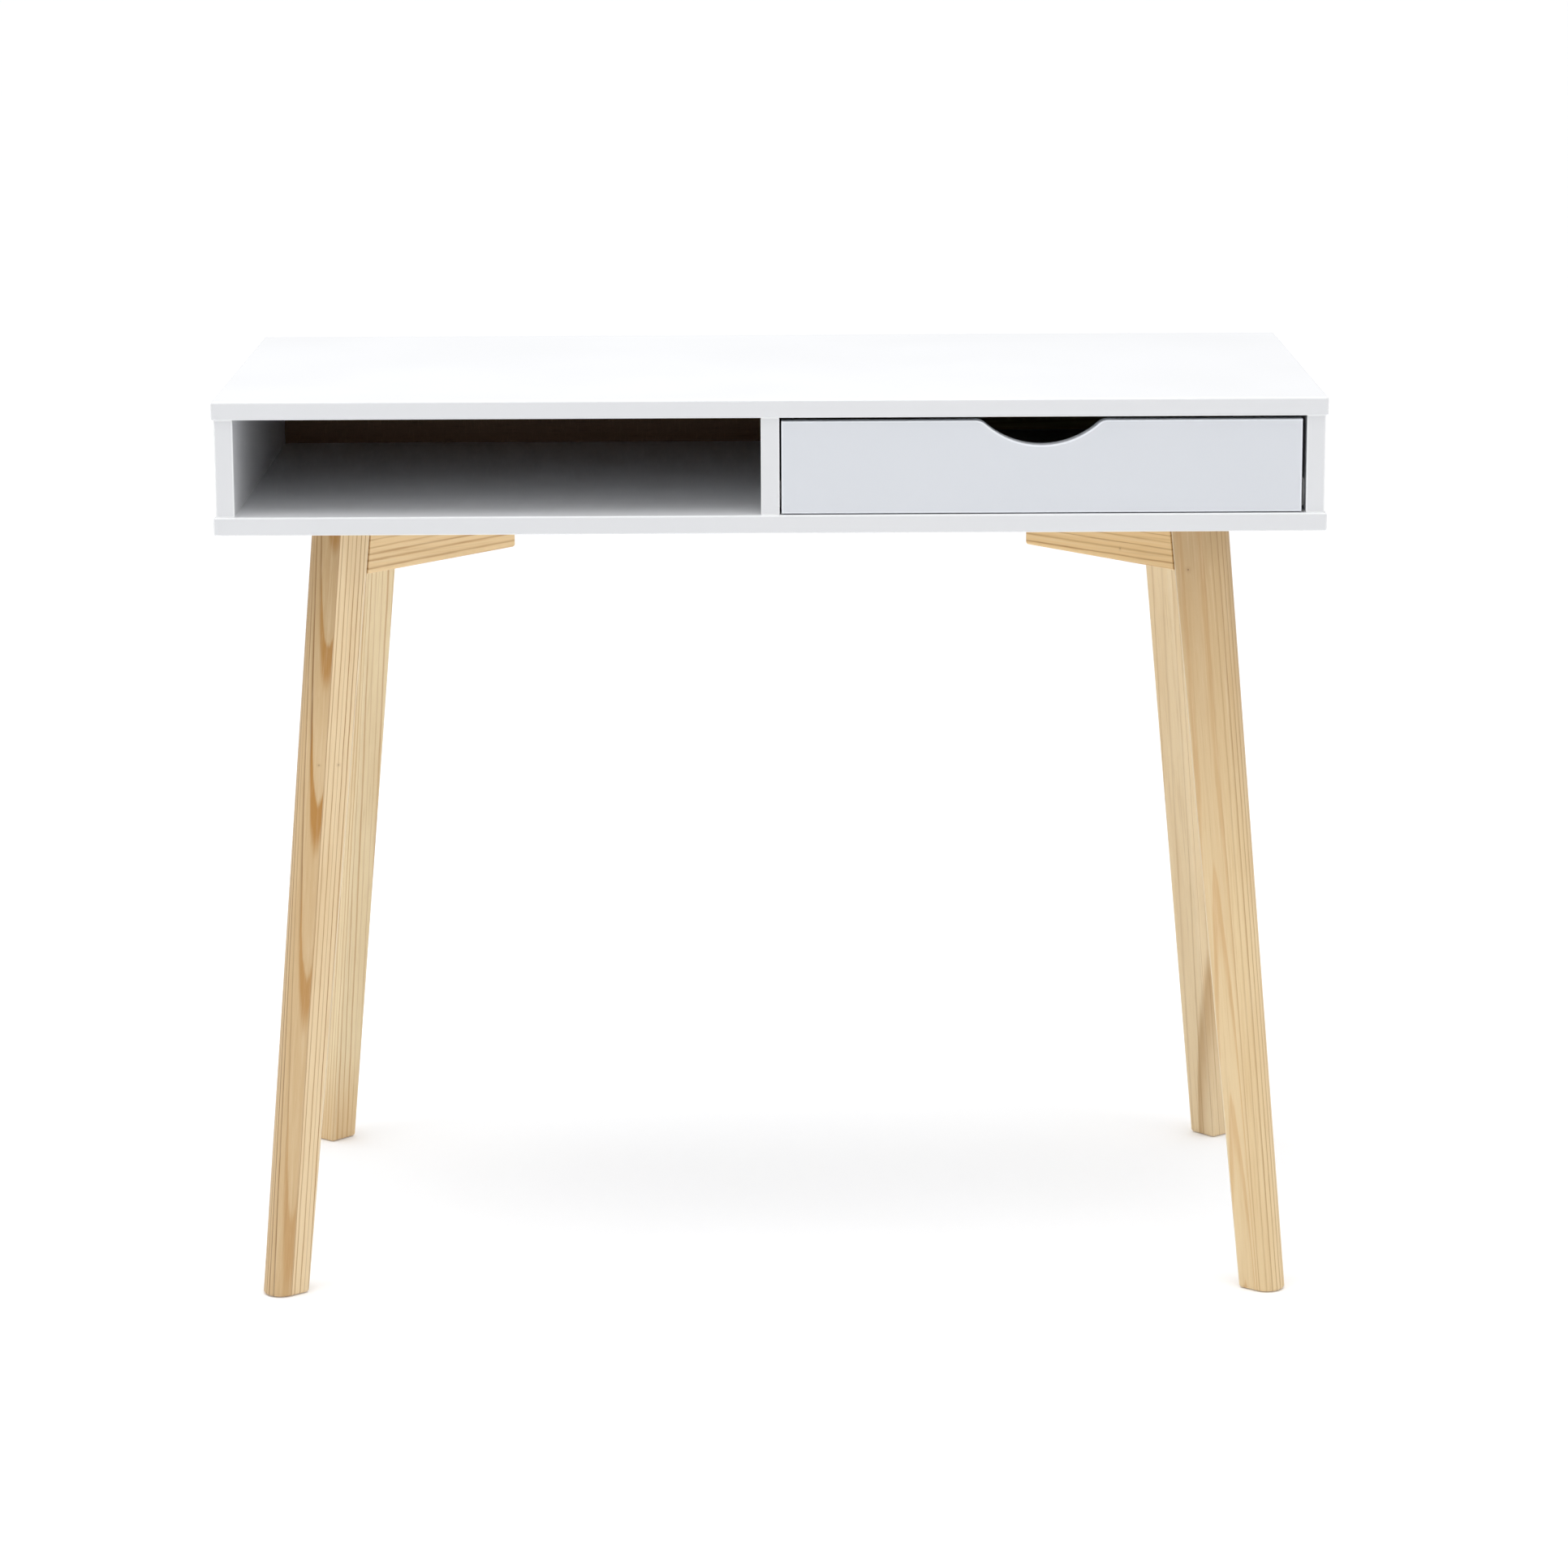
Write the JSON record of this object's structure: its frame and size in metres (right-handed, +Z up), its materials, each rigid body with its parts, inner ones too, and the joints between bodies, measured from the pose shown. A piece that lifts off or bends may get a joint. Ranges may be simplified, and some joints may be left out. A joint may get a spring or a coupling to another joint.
{
  "type": "writing desk",
  "caption": "Slim writing desk: white lacquered box with an open niche and a drawer with a curved finger cut-out, on splayed pine legs with diagonal arms.",
  "frame": {"origin": "middle of the desk on the floor, between the feet", "axes": "+Z up, +X along the desk to the drawer end, the front faces -Y"},
  "size_m": [0.9, 0.5096, 0.742],
  "materials": {
    "white_lacquer": "satin lacquer",
    "pine": "clear matt lacquer",
    "hardboard": "smooth pressed",
    "drawer_wood": "sanded",
    "dowel_wood": "fluted beech",
    "coated_steel": "powder coat",
    "zinc_steel": "zinc plated",
    "roller_plastic": "moulded"
  },
  "bodies": {
    "carcass": {"top_panel": "white_lacquer", "bottom_panel": "white_lacquer", "left_side_panel": "white_lacquer", "divider_panel": "white_lacquer", "right_side_panel": "white_lacquer", "back_panel": "hardboard", "carcass_dowels": "dowel_wood", "carcass_screws": "zinc_steel", "leg_dowels": "dowel_wood", "arm_dowels": "dowel_wood", "arm_screws": "zinc_steel", "leg_front_left": "pine", "leg_front_right": "pine", "leg_back_left": "pine", "leg_back_right": "pine", "arm_front_left": "pine", "arm_front_right": "pine", "arm_back_left": "pine", "arm_back_right": "pine", "cabinet_rail_left": "coated_steel", "cabinet_rail_right": "coated_steel", "cabinet_axles": "zinc_steel", "cabinet_rail_screws": "zinc_steel"},
    "drawer": {"drawer_front": "white_lacquer", "drawer_left_side": "drawer_wood", "drawer_right_side": "drawer_wood", "drawer_back": "drawer_wood", "drawer_bottom": "hardboard", "drawer_dowels": "dowel_wood", "drawer_screws": "zinc_steel", "drawer_rail_left": "coated_steel", "drawer_rail_right": "coated_steel", "drawer_axles": "zinc_steel", "drawer_rail_screws": "zinc_steel"},
    "cabinet_roller_left": {"cabinet_roller_left": "roller_plastic"},
    "cabinet_roller_right": {"cabinet_roller_right": "roller_plastic"},
    "drawer_roller_left": {"drawer_roller_left": "roller_plastic"},
    "drawer_roller_right": {"drawer_roller_right": "roller_plastic"}
  },
  "joints": [
    {"name": "drawer_slide", "type": "slide", "parent": "carcass", "child": "drawer", "axis": [0, -1, 0], "range_m": [0, 0.3]},
    {"name": "cabinet_roller_left_turn", "type": "hinge", "parent": "carcass", "child": "cabinet_roller_left", "pos_m": [0.01285, -0.194, 0.6615], "axis": [1, 0, 0], "range_deg": [0, 1910]},
    {"name": "cabinet_roller_right_turn", "type": "hinge", "parent": "carcass", "child": "cabinet_roller_right", "pos_m": [0.42765, -0.194, 0.6615], "axis": [1, 0, 0], "range_deg": [0, 1910]},
    {"name": "drawer_roller_left_turn", "type": "hinge", "parent": "drawer", "child": "drawer_roller_left", "pos_m": [0.01445, 0.132, 0.6615], "axis": [1, 0, 0], "range_deg": [0, 1910]},
    {"name": "drawer_roller_right_turn", "type": "hinge", "parent": "drawer", "child": "drawer_roller_right", "pos_m": [0.42605, 0.132, 0.6615], "axis": [1, 0, 0], "range_deg": [0, 1910]}
  ],
  "couplings": [
    {"joint": "cabinet_roller_left_turn", "follows": "drawer_slide", "rad_per_m": 111.11},
    {"joint": "cabinet_roller_right_turn", "follows": "drawer_slide", "rad_per_m": 111.11},
    {"joint": "drawer_roller_left_turn", "follows": "drawer_slide", "rad_per_m": 111.11},
    {"joint": "drawer_roller_right_turn", "follows": "drawer_slide", "rad_per_m": 111.11}
  ]
}
